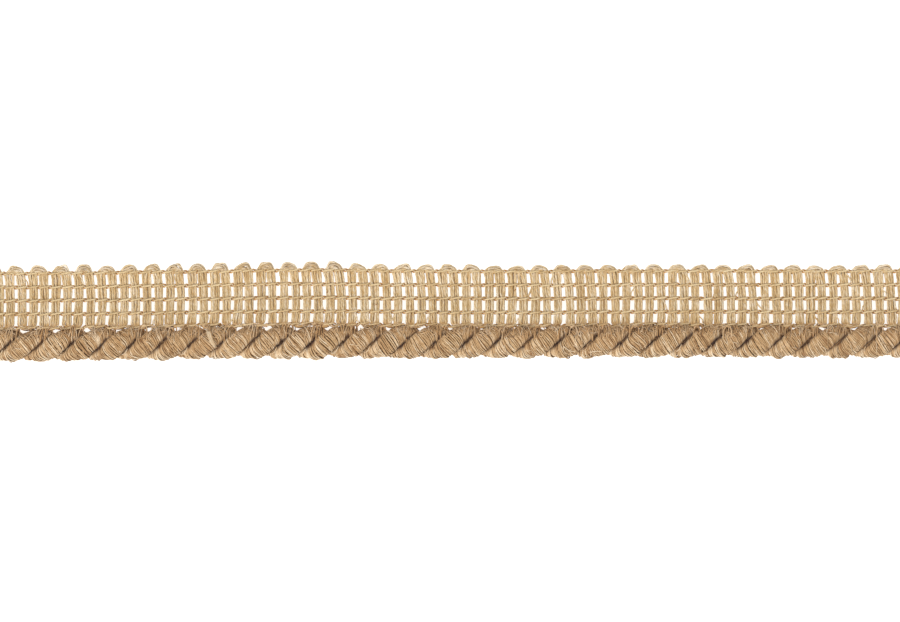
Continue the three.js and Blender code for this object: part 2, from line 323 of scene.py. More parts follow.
def yarn_material(name, dark, middle, light, warm, hollow, plies, twist, streak, bump, rough, sheen, flank_shade, edge=(0.20, 0.54), spun=0.16):
    """Spun yarn: fibres run round it in a long twist; marks tell strands apart. Each strand is darkened along its sides
    as painted shade where it meets its neighbours, and the shade mark mixes in the hollow colour, for painted shade and
    for dark flecks.
    """
    material = bpy.data.materials.new(name)
    material.use_nodes = True
    tree = material.node_tree
    tree.nodes.clear()
    new = tree.nodes.new
    link = tree.links.new

    def value(op, a, b=None, c=None):
        node = new("ShaderNodeMath")
        node.operation = op
        for i, x in enumerate((a, b, c)):
            if x is None:
                continue
            if isinstance(x, (int, float)):
                node.inputs[i].default_value = x
            else:
                link(x, node.inputs[i])
        return node.outputs[0]

    def mark(label):
        node = new("ShaderNodeAttribute")
        node.attribute_type = "GEOMETRY"
        node.attribute_name = label
        return node.outputs["Fac"]

    uv = new("ShaderNodeUVMap")
    uv.uv_map = "yarn"
    part = new("ShaderNodeSeparateXYZ")
    link(uv.outputs["UV"], part.inputs[0])
    turn = value("ADD", value("MULTIPLY", part.outputs[0], float(plies)), value("MULTIPLY", part.outputs[1], 1.0 / twist))
    ply = value("ABSOLUTE", value("SINE", value("MULTIPLY", turn, math.pi)))
    place = new("ShaderNodeTexCoord")
    grain = new("ShaderNodeCombineXYZ")
    link(value("MULTIPLY", turn, streak), grain.inputs[0])
    link(value("MULTIPLY", part.outputs[1], 0.8), grain.inputs[1])
    link(value("MULTIPLY", mark("tone"), 7.0), grain.inputs[2])
    fibre = new("ShaderNodeTexNoise")
    fibre.inputs["Scale"].default_value = 1.0
    fibre.inputs["Detail"].default_value = 4.0
    fibre.inputs["Roughness"].default_value = 0.65
    link(grain.outputs[0], fibre.inputs["Vector"])
    speck = new("ShaderNodeTexNoise")
    speck.inputs["Scale"].default_value = 900.0
    speck.inputs["Detail"].default_value = 3.0
    link(place.outputs["Object"], speck.inputs["Vector"])
    cloud = new("ShaderNodeTexNoise")
    cloud.inputs["Scale"].default_value = 130.0
    cloud.inputs["Detail"].default_value = 2.0
    link(place.outputs["Object"], cloud.inputs["Vector"])

    round_ = value("MULTIPLY", value("ABSOLUTE", value("SUBTRACT", part.outputs[0], 0.5)), 2.0)
    flank = new("ShaderNodeMapRange")
    flank.interpolation_type = "SMOOTHSTEP"
    flank.inputs["From Min"].default_value = edge[0]
    flank.inputs["From Max"].default_value = edge[1]
    link(round_, flank.inputs["Value"])

    level = value("MULTIPLY_ADD", mark("tone"), 0.30, 0.5)
    level = value("ADD", level, value("MULTIPLY_ADD", fibre.outputs["Fac"], 0.9, -0.45))
    level = value("ADD", level, value("MULTIPLY_ADD", speck.outputs["Fac"], 0.5, -0.25))
    level = value("ADD", level, value("MULTIPLY_ADD", cloud.outputs["Fac"], 0.3, -0.15))
    level = value("ADD", level, value("MULTIPLY_ADD", ply, spun, -0.62 * spun))
    ramp = new("ShaderNodeValToRGB")
    link(level, ramp.inputs["Fac"])
    ramp.color_ramp.elements[0].position = 0.08
    ramp.color_ramp.elements[0].color = (*dark, 1)
    ramp.color_ramp.elements[1].position = 0.95
    ramp.color_ramp.elements[1].color = (*light, 1)
    between = ramp.color_ramp.elements.new(0.5)
    between.color = (*middle, 1)

    def mix(kind, factor, a, b):
        node = new("ShaderNodeMix")
        node.data_type = "RGBA"
        node.blend_type = kind
        link(factor, node.inputs["Factor"])
        for socket, x in ((node.inputs[6], a), (node.inputs[7], b)):
            if isinstance(x, tuple):
                socket.default_value = (*x, 1)
            else:
                link(x, socket)
        return node.outputs[2]

    colour = mix("MIX", mark("warm"), ramp.outputs["Color"], warm)
    # painted shade: each strand is darker along its sides, where its neighbours meet it
    colour = mix("MIX", value("MULTIPLY", flank.outputs["Result"], flank_shade), colour, tuple(c * k for c, k in zip(dark, (0.50, 0.41, 0.30))))
    # painted shade: the shade mark mixes in the hollow colour (the same mark also gives the dark flecks their colour)
    colour = mix("MIX", mark("shade"), colour, hollow)

    height = value("ADD", value("MULTIPLY", ply, 0.55), value("MULTIPLY", fibre.outputs["Fac"], 0.9))
    relief = new("ShaderNodeBump")
    relief.inputs["Strength"].default_value = bump
    relief.inputs["Distance"].default_value = 0.00008
    link(height, relief.inputs["Height"])

    shader = new("ShaderNodeBsdfPrincipled")
    link(colour, shader.inputs["Base Color"])
    link(relief.outputs["Normal"], shader.inputs["Normal"])
    link(value("MULTIPLY_ADD", fibre.outputs["Fac"], 0.18, rough - 0.09), shader.inputs["Roughness"])
    shader.inputs["Specular IOR Level"].default_value = 0.35
    shader.inputs["Sheen Weight"].default_value = sheen
    shader.inputs["Sheen Roughness"].default_value = 0.45
    out = new("ShaderNodeOutputMaterial")
    link(shader.outputs[0], out.inputs["Surface"])
    return material


def srgb(r, g, b, gain=1.0):
    lin = lambda c: (c / 255 / 12.92) if c <= 10.3 else ((c / 255 + 0.055) / 1.055) ** 2.4
    return tuple(min(1.0, lin(c) * gain) for c in (r, g, b))


# the fifth colour of each yarn is its hollow colour, used for painted shade
GIMP = yarn_material(
    "gimp_thread",
    srgb(136, 96, 58), srgb(200, 166, 122), srgb(240, 221, 191), srgb(192, 143, 88), srgb(64, 34, 22),
    plies=2, twist=2.2, streak=2.4, bump=0.7, rough=0.74, sheen=0.10, flank_shade=0.38, edge=(0.12, 0.44),
)
WEFT_YARN = yarn_material(
    "weft_yarn",
    srgb(174, 137, 84), srgb(208, 182, 138), srgb(238, 225, 202), srgb(192, 146, 88), srgb(124, 88, 48),
    plies=2, twist=1.5, streak=2.6, bump=0.6, rough=0.8, sheen=0.10, flank_shade=0.15, edge=(0.12, 0.50), spun=0.20,
)
WARP_YARN = yarn_material(
    "warp_yarn",
    srgb(170, 134, 84), srgb(210, 185, 141), srgb(231, 213, 175), srgb(198, 144, 80), srgb(116, 76, 38),
    plies=2, twist=1.3, streak=2.2, bump=0.6, rough=0.8, sheen=0.10, flank_shade=0.42, spun=0.20,
)
# the core's colours are darker than the thread's: partly painted shade for the gaps between the turns
CORE = yarn_material(
    "cord_core",
    srgb(136, 98, 62), srgb(168, 129, 88), srgb(188, 152, 110), srgb(116, 84, 56), srgb(64, 34, 22),
    plies=3, twist=4.0, streak=3.0, bump=0.5, rough=0.9, sheen=0.0, flank_shade=0.0,
)

# ---------------------------------------------------------------- camera

camera_data = bpy.data.cameras.new("camera")
camera_data.lens = 250
camera_data.sensor_width = 36
camera_data.clip_start = 0.05
camera_data.clip_end = 20
camera = bpy.data.objects.new("camera", camera_data)
DISTANCE = 900 * PIXEL * MM * camera_data.lens / camera_data.sensor_width
camera.location = (-ORIGIN_X * MM, -ORIGIN_Y * MM, 0.003 + DISTANCE)
bpy.context.scene.collection.objects.link(camera)
bpy.context.scene.camera = camera

# ---------------------------------------------------------------- twisted cord


def cord_y(x):
    return AXIS_Y + sway("cord", x)


def lip_y(x):
    return LIP_LINE_Y + sway("lip", x)


def along(u):
    return u + sway("twist", u)


def turned(u, ply):
    return math.pi * (ply + 0.5) - 2 * math.pi * (u - GROOVE_X) / LAY


def ply_surface(u, angle, ply, inset=0.0, gap=SIDE_GAP):
    """Point on a ply: u is the place along the cord, angle goes round the ply
    from its crown, and inset is how far the point lies under the surface."""
    out = PLY_CENTRE + (PLY_UP - inset) * np.cos(angle)
    side = (PLY_ACROSS - inset) * np.sin(angle)
    edge = gap + inset
    d = out - edge
    out = edge + 0.5 * (d + np.sqrt(d * d + 0.02))
    t = turned(u, ply)
    up = out * np.cos(t) - side * np.sin(t)
    across = out * np.sin(t) + side * np.cos(t)
    x = along(u)
    return np.stack([x, cord_y(x) - across, AXIS_Z + up], -1)


def ply_line(u, ply):
    t = turned(u, ply)
    x = along(u)
    return np.stack([x, cord_y(x) - PLY_CENTRE * np.sin(t), AXIS_Z + PLY_CENTRE * np.cos(t)], -1)


def square_to_ply(u, angle, ply, inset):
    """Moves a point along the ply until it lies in the plane through the ply's
    line at u, square to it, and gives its u."""
    e = 1e-3
    middle = ply_line(u, ply)
    ahead = unit(ply_line(u + e, ply) - ply_line(u - e, ply))
    shift = np.zeros_like(u)
    for _ in range(7):
        here = ((ply_surface(u + shift, angle, ply, inset) - middle) * ahead).sum(-1)
        there = ((ply_surface(u + shift + e, angle, ply, inset) - middle) * ahead).sum(-1)
        shift = np.clip(shift - here * e / (there - here), -4, 4)
    return u + shift


def ply_normal(u, angle, ply, inset):
    e = 1e-3
    a = ply_surface(u + e, angle, ply, inset) - ply_surface(u - e, angle, ply, inset)
    b = ply_surface(u, angle + e, ply, inset) - ply_surface(u, angle - e, ply, inset)
    n = unit(np.cross(a, b))
    away = ply_surface(u, angle, ply, inset) - ply_line(u, ply)
    return n * np.sign((n * away).sum(-1, keepdims=True))


def top_of_cord(x, y):
    """Height of the cord's upper surface over a point, or nan beside it."""
    x, y = np.asarray(x, float), np.asarray(y, float)
    u = x - sway("twist", x)
    dy = y - cord_y(x)
    best = np.full(np.broadcast(x, y).shape, np.nan)
    for ply in (0, 1):
        t = turned(u, ply)
        c, s = np.cos(t), np.sin(t)
        # ((dz c - dy s - centre) / up)^2 + ((dz s + dy c) / across)^2 = 1
        a = (c / PLY_UP) ** 2 + (s / PLY_ACROSS) ** 2
        b = 2 * (c * (-dy * s - PLY_CENTRE) / PLY_UP**2 + s * dy * c / PLY_ACROSS**2)
        k = ((-dy * s - PLY_CENTRE) / PLY_UP) ** 2 + (dy * c / PLY_ACROSS) ** 2 - 1
        disc = b * b - 4 * a * k
        z = np.where(disc >= 0, AXIS_Z + (-b + np.sqrt(np.maximum(disc, 0))) / (2 * a), np.nan)
        best = np.fmax(best, z)
    return best


# places where stitches pull into the cord's upper side
STITCH_COUNT = 112
stitch_x = np.linspace(LEFT_X + 1.2, RIGHT_X - 1.2, STITCH_COUNT) + 0.75 * pick(STITCH_COUNT, 31)
stitch_y = cord_y(stitch_x) + 2.0 + 0.6 * pick(STITCH_COUNT, 32)


def stitch_shade(x, y):
    """Hollows round the stitches."""
    near = np.zeros(np.broadcast(x, y).shape)
    order = np.argsort(stitch_x)
    i = np.clip(np.searchsorted(stitch_x[order], x), 1, STITCH_COUNT - 1)
    for k in (i - 1, i):
        sx, sy = stitch_x[order][k], stitch_y[order][k]
        near = np.maximum(near, np.exp(-(((x - sx) / 0.28) ** 2 + ((y - sy) / 0.45) ** 2)))
    return near


def groove_shade(u, angle, ply, inset, ragged=0.0):
    """Darkness towards the groove between the plies, most in its middle."""
    out = PLY_CENTRE + (PLY_UP - inset) * np.cos(angle) + ragged
    place = ply_surface(u, angle, ply, inset)
    aside = place[..., 1] - cord_y(place[..., 0])
    return (1 - step(0.12, 1.06, out)) * (1 - 0.55 * step(1.0, 2.4, aside)) * (1 - 0.80 * step(1.0, 2.5, -aside))


def wound_thread(ply, part, parts):
    """The thread's turns, one of several runs that meet end to end."""
    open_part = math.radians(134)
    marks = np.concatenate(
        [np.linspace(-open_part, open_part, THREAD_SEGMENTS - 1), [math.pi]]
    )
    turns = int((RIGHT_X - LEFT_X - 0.5) / THREAD_PITCH)
    first, last = turns * part // parts, turns * (part + 1) // parts
    n = np.arange(first * THREAD_SEGMENTS, last * THREAD_SEGMENTS + 1)
    k = n % THREAD_SEGMENTS
    angle = marks[k] + 0.0
    place = n / THREAD_SEGMENTS
    u = LEFT_X + 0.25 + place * THREAD_PITCH - sway("twist", LEFT_X)
    seed = 100 + 20 * ply
    # turns crowd and part in groups, and lean against one another
    u = u + 0.050 * wander(place * 0.71, seed) + 0.09 * wander(place * 0.17, seed + 1)
    inset = THREAD - 0.11 * np.maximum(0, wander(place * 1.03, seed + 2)) - 0.06 * wander(place * 0.33, seed + 3)
    inset = inset - 0.14 * np.maximum(0, wander(place * 0.14, seed + 12)) - 0.15 * wander(place * 0.045, seed + 13) + 0.02
    inset = np.minimum(inset, 0.22)
    # and stand out unevenly on the side away from the lip
    flat = square_to_ply(u, angle, ply, inset)
    low = cord_y(along(flat)) - ply_surface(flat, angle, ply, inset)[..., 1]
    tuft = 0.42 * np.maximum(0, wander(place * 0.30, seed + 14)) - 0.20 * np.maximum(0, wander(place * 0.25, seed + 15))
    turned_up = np.sin(turned(flat, ply)) ** 2
    inset = inset - step(1.9, 3.1, low) * (tuft - 0.10 * turned_up + 0.22 * wander(place * 1.03, seed + 16))
    inset = inset - 0.22 * step(1.8, 2.6, low) * np.exp(-turned_up / 0.14)
    # it is pressed in a little next to the lip's foot
    inset = inset + (0.12 + 0.12 * np.exp(-turned_up / 0.14)) * step(1.9, 2.9, -low)
    u = square_to_ply(u, angle, ply, inset)
    lean = 0.15 * wander(place * 0.12, seed + 4) + 0.06 * wander(place * 0.6, seed + 5) + 0.11 * wander(place * 0.04, seed + 9)
    u = u + lean * np.sin(angle) + 0.07 * wander(place * 2.1, seed + 6)
    # the groove wanders: where one ply's turns reach over, the other's draw back
    way = 1 if ply == 0 else -1
    place_on_cord = (u + 220) * 0.85
    seam = np.where(way * np.sin(angle) > 0, wander(place_on_cord, 77), wander(place_on_cord, 78))
    gap = SIDE_GAP + way * 0.15 * seam * step(0.3, 0.8, np.abs(np.sin(angle)))
    path = ply_surface(u, angle, ply, inset, gap)
    path[:, 0] = np.clip(path[:, 0], LEFT_X + THREAD, RIGHT_X - THREAD)
    out = ply_normal(u, angle, ply, inset)
    radius = THREAD * (1 + 0.10 * wander(place * 0.9, seed + 7) + 0.06 * wander(place * 3.1, seed + 8))
    aside = path[:, 1] - cord_y(path[:, 0])
    # painted light: the turns are lighter along the cord's lower edge, for light from the pale floor; they are also
    # lighter towards the lip's foot
    tone = 0.76 * wander(place * 1.03, seed + 10) + 0.42 * wander(place * 0.37, seed + 11) + 0.60 * step(2.3, 3.4, -aside) + 0.32 * step(2.1, 3.0, aside) - 0.05
    # painted shade: darker in the groove, in the hollows round the stitches, and on the ply's upper part towards the
    # lip
    shade = 1.0 * groove_shade(u, angle, ply, inset, 0.32 * wander(place * 0.32, seed + 17) + 0.22 * wander(place * 1.03, seed + 21))
    shade = np.maximum(shade, 0.45 * stitch_shade(path[:, 0], path[:, 1]) * step(3.6, 4.6, path[:, 2]))
    shade = np.maximum(shade, (0.02 + 0.10 * wander(place * 0.5, seed + 19)) * step(1.1, 2.2, aside) * (1 - 0.7 * step(2.5, 3.2, aside)))
    warm = (0.10 + 0.20 * np.maximum(0, wander(place * 0.31, seed + 18))) * (1 - step(0.8, 2.6, -aside)) + 0.32 * step(1.0, 3.2, aside)
    return strand(path[None], radius[None], out[None], THREAD_SIDES, tone[None], shade[None], warm[None], chunk=THREAD_SEGMENTS, ring=THREAD_RING)


def loose_threads(ply, part, parts, count):
    """Single turns that ride over their neighbours."""
    rng = np.random.default_rng(300 + ply + 10 * part)
    n = 12
    span = (RIGHT_X - LEFT_X - 6) / parts
    u0 = LEFT_X + 3 + span * (part + rng.uniform(0, 1, count))[:, None]
    middle = np.radians(rng.uniform(-75, 75, count))[:, None]
    half = np.radians(rng.uniform(35, 85, count))[:, None]
    t = np.linspace(-1, 1, n)[None]
    angle = np.clip(middle + half * t, -2.2, 2.2)
    lean = rng.normal(0, 0.36, count)[:, None]
    bend = rng.normal(0, 0.18, count)[:, None]
    dip = 1 - np.abs(t) ** 4
    proud = rng.choice([0.0, 0.0, 0.0, 0.0, 0.0, 0.10, 0.20], count)[:, None]
    inset = 0.26 - (0.20 + rng.uniform(0, 0.12, count)[:, None] + proud) * dip
    u = square_to_ply(np.broadcast_to(u0, angle.shape).copy(), angle, ply, 0.1)
    u = u + lean * t + bend * (1 - t * t)
    path = ply_surface(u, angle, ply, inset)
    out = ply_normal(u, angle, ply, 0.1)
    radius = rng.uniform(0.07, 0.135, count)[:, None] * np.ones_like(t)
    tone = rng.uniform(-0.6, 1.1, count)[:, None] * np.ones_like(t)
    shade = 0.6 * groove_shade(u, angle, ply, 0.1)
    return strand(path, radius, out, 4, tone, shade, 0.1, chunk=n - 1)


def core(ply):
    """What shows between the turns and at the cut ends."""
    steps = 240
    angle = np.linspace(-math.pi, math.pi, 19)[:-1]
    u = np.linspace(LEFT_X + 0.45, RIGHT_X - 0.45, steps)
    u = u - sway("twist", u)
    uu, aa = np.meshgrid(u, angle, indexing="ij")
    return uu, aa, ply_surface(uu, aa, ply, 0.21, gap=-0.30)


def grid_mesh(name, surface, material, tone=0.0, shade=0.0):
    """A closed tube through the rings of points, with flat ends."""
    n, k, _ = surface.shape
    co = surface.reshape(-1, 3).copy()
    ends = np.stack([surface[0].mean(0), surface[-1].mean(0)])
    co = np.concatenate([co, ends])
    co[:, 2] = np.maximum(co[:, 2], 0.03)
    co[:, 0] -= ORIGIN_X
    co[:, 1] -= ORIGIN_Y
    faces, uv = [], []
    for i in range(n - 1):
        for j in range(k):
            faces.append((i * k + j, (i + 1) * k + j, (i + 1) * k + (j + 1) % k, i * k + (j + 1) % k))
            uv.append(((i, j), (i + 1, j), (i + 1, j + 1), (i, j + 1)))
    for j in range(k):
        faces.append((n * k, j, (j + 1) % k))
        uv.append(((0, k / 2), (0, j), (0, j + 1)))
        faces.append((n * k + 1, (n - 1) * k + (j + 1) % k, (n - 1) * k + j))
        uv.append(((n - 1, k / 2), (n - 1, j + 1), (n - 1, j)))
    mesh = bpy.data.meshes.new(name)
    mesh.from_pydata((co * MM).tolist(), [], faces)
    flat = [c for f in uv for c in f]
    length = np.concatenate([[0], np.cumsum(np.linalg.norm(np.diff(surface[:, 0], axis=0), axis=1))])
    layer = mesh.uv_layers.new(name="yarn")
    layer.data.foreach_set("uv", np.array([(b / k, length[int(a)]) for a, b in flat], np.float32).reshape(-1))
    for key, v in (("tone", tone), ("shade", shade), ("warm", 0.0)):
        mark = mesh.attributes.new(key, "FLOAT", "POINT")
        mark.data.foreach_set("value", np.full(len(co), v, np.float32))
    mesh.validate()
    mesh.shade_smooth()
    mesh.materials.append(material)
    piece = bpy.data.objects.new(name, mesh)
    bpy.context.scene.collection.objects.link(piece)
    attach(piece, "root")
    return piece


def cut_ends(ply):
    """The ends of the core's own yarns, which show where the cord is cut."""
    sets = []
    rng = np.random.default_rng(500 + ply)
    for edge, way in ((LEFT_X, 1), (RIGHT_X, -1)):
        u = edge - float(sway("twist", edge))
        for ring, amount, turn in ((0.0, 1, 0.0), (0.48, 6, 0.3), (1.0, 12, 0.1)):
            for i in range(amount):
                a = turn + 2 * math.pi * i / max(1, amount)
                t = turned(u, ply)
                out = PLY_CENTRE + 0.12 + 1.34 * ring * math.cos(a) + 0.05 * rng.normal()
                side = 1.98 * ring * math.sin(a) + 0.05 * rng.normal()
                out = max(out, 0.50)
                up = out * math.cos(t) - side * math.sin(t)
                across = out * math.sin(t) + side * math.cos(t)
                y, z = float(cord_y(edge)) - across, AXIS_Z + up
                reach = rng.uniform(0.0, 0.22)
                line = np.array([[edge + way * (reach + 0.20 * q), y, max(z, 0.45)] for q in range(5)])
                sets.append((line, 0.40 + 0.04 * rng.normal(), rng.uniform(-0.8, 0.8)))
    path = np.array([s[0] for s in sets])
    radius = np.array([s[1] for s in sets])[:, None] * np.array([0.72, 1.0, 1.0, 1.0, 1.0])[None]
    tone = np.array([s[2] for s in sets])[:, None]
    return strand(path, radius, (0, 0, 1), 8, tone * np.ones((1, 5)), 0.1, 0.0, chunk=4)


for ply in (0, 1):
    _, _, surface = core(ply)
    name = f"ply_{ply + 1}"
    # painted shade: the core is darkened further where it shows between the turns
    grid_mesh(name + "_core", surface, CORE, shade=0.14)
    for part, label in enumerate("ab"):
        build(name + label, [wound_thread(ply, part, 2), loose_threads(ply, part, 2, 150)], GIMP)

# ---------------------------------------------------------------- woven lip


def lip_height(rise):
    below = FLAT_FROM - rise
    return np.where(
        below <= 0, 0.0, np.where(below < BEND, CLIMB * below**2 / (2 * BEND), CLIMB * (below - BEND / 2))
    )


def lip_slope(rise):
    below = np.clip(FLAT_FROM - rise, 0, BEND)
    return CLIMB * below / BEND


def on_lip(x, rise, lift):
    """Point over the lip, as seen from above: lift is measured square to its underside."""
    return np.stack([x, lip_y(x) + rise, lip_height(rise) + lift * np.sqrt(1 + lip_slope(rise) ** 2)], -1)


def up_from_lip(points):
    """Direction square to the lip at points."""
    rise = points[..., 1] - lip_y(points[..., 0])
    slope = lip_slope(rise)
    return unit(np.stack([np.zeros_like(slope), slope, np.ones_like(slope)], -1))


bundle_shift = 0.085 * pick(BUNDLES, 41)
bundle_wide = 1.0 + 0.07 * pick(BUNDLES, 42)
RISES = (-7.1, -6.1, -4.70, -3.15, -1.63, 0.0, 1.48, 3.0, 4.1)
TIED = (0, 0, 1, 0, 1, 0, 1, 0, 0)           # where a warp row holds the yarns together


def column_x(k, rise):
    """The weave's even place of bundle k, or of a gap when k is halfway."""
    x = FIRST_BUNDLE_X + k * PITCH
    return x + float(sway("weave", x)) - 0.045 * rise - 0.0072 * rise**2


def bundle_x(k, rise, partner_top, partner_foot):
    """Middle of bundle k at a height: it leans to its partner in the scallop
    above and to its partner in the foot loop below."""
    x = column_x(k, rise) + bundle_shift[k]
    x = x + partner_top * 0.09 * step(0.9, 2.4, rise)
    x = x + partner_foot * 0.095 * step(-3.6, -6.0, rise)
    x = x + 0.09 * wander(k * 0.37 + rise * 0.21, 43) - 0.016 * rise * wander(k * 0.33, 44)
    return x


def bundle_width(k, rise):
    w = bundle_wide[k] * (0.99 + 0.08 * step(0.5, 3.5, rise) - 0.04 * step(-1.0, -3.0, rise) + 0.09 * step(-3.6, -6.0, rise))
    return w * (1 + 0.06 * wander(k * 1.7 + rise * 0.42, 45))


def weft(offsets, half, depth, seed, sides, steps, dark, loose):
    """Yarns that run side by side: up one bundle, over a scallop, down the next
    bundle and through a foot loop to the one after it."""
    pairs = BUNDLES // 2
    apex = 5.70 + 0.14 * pick(pairs, 46)
    fall = (0.0, 0.42, 0.80, 1.12, 1.35)
    sets = []
    for j, offset in enumerate(offsets):
        rank = (offset - offsets[0]) / (offsets[-1] - offsets[0]) * 4    # 0 is outermost in the scallop
        down = float(np.interp(rank, range(5), fall)) + depth * 0.8
        free = loose * (0.11 + 0.17 * math.sin(math.pi * rank / 4))
        bow = loose * (0.09 + 0.12 * math.sin(math.pi * rank / 4))
        stray = lambda k, rise: 0.75 * free * float(wander(k * 2.1 + j * 57.3 + rise * 0.16, seed + 49))
        points = []
        for s in range(pairs):
            a, b = 2 * s, 2 * s + 1
            middle = column_x(a + 0.5, 4.2) + 0.5 * (bundle_shift[a] + bundle_shift[b]) + 0.10
            layer = 0.06 * (1 if (j + s) % 2 else -1)
            for i, rise in enumerate(RISES):
                x = bundle_x(a, rise, 1, -1 if s else 0) + (offset + stray(a, rise)) * bundle_width(a, rise)
                x = x + bow * (1 - 0.5 * TIED[i]) * wander(a * 3.1 + i * 1.3, seed + 50 + j) - 0.05 * TIED[i] * offset
                lift = WEFT_Z - depth + layer + 0.06 * wander(a * 2.3 + i, seed + 60 + j)
                points.append(on_lip(x, rise, lift))
            reach = (PITCH / 2 - offset) / (PITCH / 2 + 0.76)
            high = apex[s] + float(sway("edge", middle)) - down + 0.11 * float(wander(s * 1.9, seed + 70 + j))
            low = 4.60
            skew = 0.06 + 0.14 * float(wander(s * 0.9, 47)) + 0.10 * float(wander(s * 1.7, seed + 48 + j))
            lift = WEFT_Z - depth + 0.02 + (-0.08, 0.18, -0.02, 0.14, 0.02)[j] + 0.10 * float(wander(s * 2.9, seed + 80 + j))
            # the strands of a scallop cross one another
            cross = 0.32 * float(wander(s * 2.3, seed + 170 + j))
            for dx, up, more in ((-1.60, 0.34, 0.0), (-1.02, 0.80 + cross, 0.1 * cross), (skew, 1.0, 0.0), (1.04, 0.80 - cross, -0.1 * cross), (1.58, 0.32, 0.0)):
                points.append(on_lip(middle + dx * reach, low + (high - low) * up, lift + more * 6))
            for i, rise in reversed(list(enumerate(RISES))):
                x = bundle_x(b, rise, -1, 1 if s < pairs - 1 else 0) - (offset + stray(b, rise)) * bundle_width(b, rise)
                x = x + bow * (1 - 0.5 * TIED[i]) * wander(b * 3.1 + i * 1.3, seed + 50 + j) + 0.05 * TIED[i] * offset
                lift = WEFT_Z - depth - layer + 0.06 * wander(b * 2.3 + i, seed + 60 + j)
                points.append(on_lip(x, rise, lift))
            if s < pairs - 1:
                foot = column_x(b + 0.5, -7.6) + 0.5 * (bundle_shift[b] + bundle_shift[b + 1])
                reach = (PITCH / 2 + offset) / (PITCH / 2 + 0.76)
                deep = -7.93 - 0.05 * rank + 0.10 * float(wander(s * 1.3, seed + 90 + j))
                for dx, up, dz in ((-1.50, -7.75, 0.0), (-0.7, deep, -0.05), (0.7, deep, -0.05), (1.50, -7.75, 0.0)):
                    points.append(on_lip(foot + dx * reach, up, WEFT_Z - depth * 0.7 + dz + 0.08 * (j % 2)))
        path = spline(np.array([points]), steps)
        n = path.shape[1]
        t = np.arange(n) / steps
        radius = half * (1 + 0.09 * wander(t * 0.31, seed + 110 + j) + 0.05 * wander(t * 0.9, seed + 120 + j))
        rise = path[0, :, 1] - lip_y(path[0, :, 0])
        tone = 0.42 * wander(t * 0.15, seed + 130 + j) + 0.60 * wander(t * 0.6, seed + 140 + j) + 0.68 * step(4.5, 5.2, rise)
        # painted shade: a scallop's inner arcs are darker between its strands, and the layer behind is darker
        # throughout so gaps in front read dark; the yarns are also darker over the foot loops next to the cord
        arc = step(4.75, 5.1, rise) * (0.04, 0.42, 0.08, 0.52, 0.34)[j]
        shade = dark + 0.25 * step(-7.4, -8.2, rise) + arc * (0.6 + 0.4 * wander(t * 0.037, seed + 180 + j))
        warm = 0.06 + 0.55 * step(-6.4, -7.8, rise) + 0.20 * np.maximum(0, wander(t * 0.23, seed + 150 + j))
        sets.append(strand(path, radius[None], up_from_lip(path), sides, tone[None], shade[None], warm[None], chunk=8 * steps))
    return sets


def strays():
    """Yarns that have slipped across an opening."""
    rng = np.random.default_rng(77)
    lines, radii, tones = [], [], []
    rows = ((-7.5, -4.95), (-7.5, -4.95), (-7.5, -4.95), (-4.5, -1.9), (-1.4, 1.2), (1.7, 4.3))
    for k in range(1, BUNDLES - 2):
        if rng.random() > 0.42:
            continue
        low, high = rows[rng.integers(len(rows))]
        a, b = (k, k + 1) if rng.random() < 0.55 else (k + 1, k)
        reach = rng.uniform(0.30, 0.75)
        points = []
        for q in np.linspace(0, 1, 6):
            rise = high + (low - high) * q
            swing = step(0.0, 1.0, q) * reach + 0.10 * math.sin(math.pi * q) * rng.uniform(-1, 1)
            x = (1 - swing) * (column_x(a, rise) + 0.55 * (1 if b > a else -1)) + swing * (column_x(b, rise) - 0.30 * (1 if b > a else -1))
            points.append(on_lip(x, rise, WEFT_Z + (0.16 if 0 < q < 1 else -0.05)))
        lines.append(points)
        radii.append(rng.uniform(0.15, 0.22))
        tones.append(rng.uniform(-0.6, 1.0))
    path = spline(np.array(lines), 2)
    one = np.ones((1, path.shape[1]))
    return [strand(path, np.array(radii)[:, None] * one, (0, 0.2, 1), 5, np.array(tones)[:, None] * one, 0.0, 0.1, chunk=path.shape[1] - 1)]


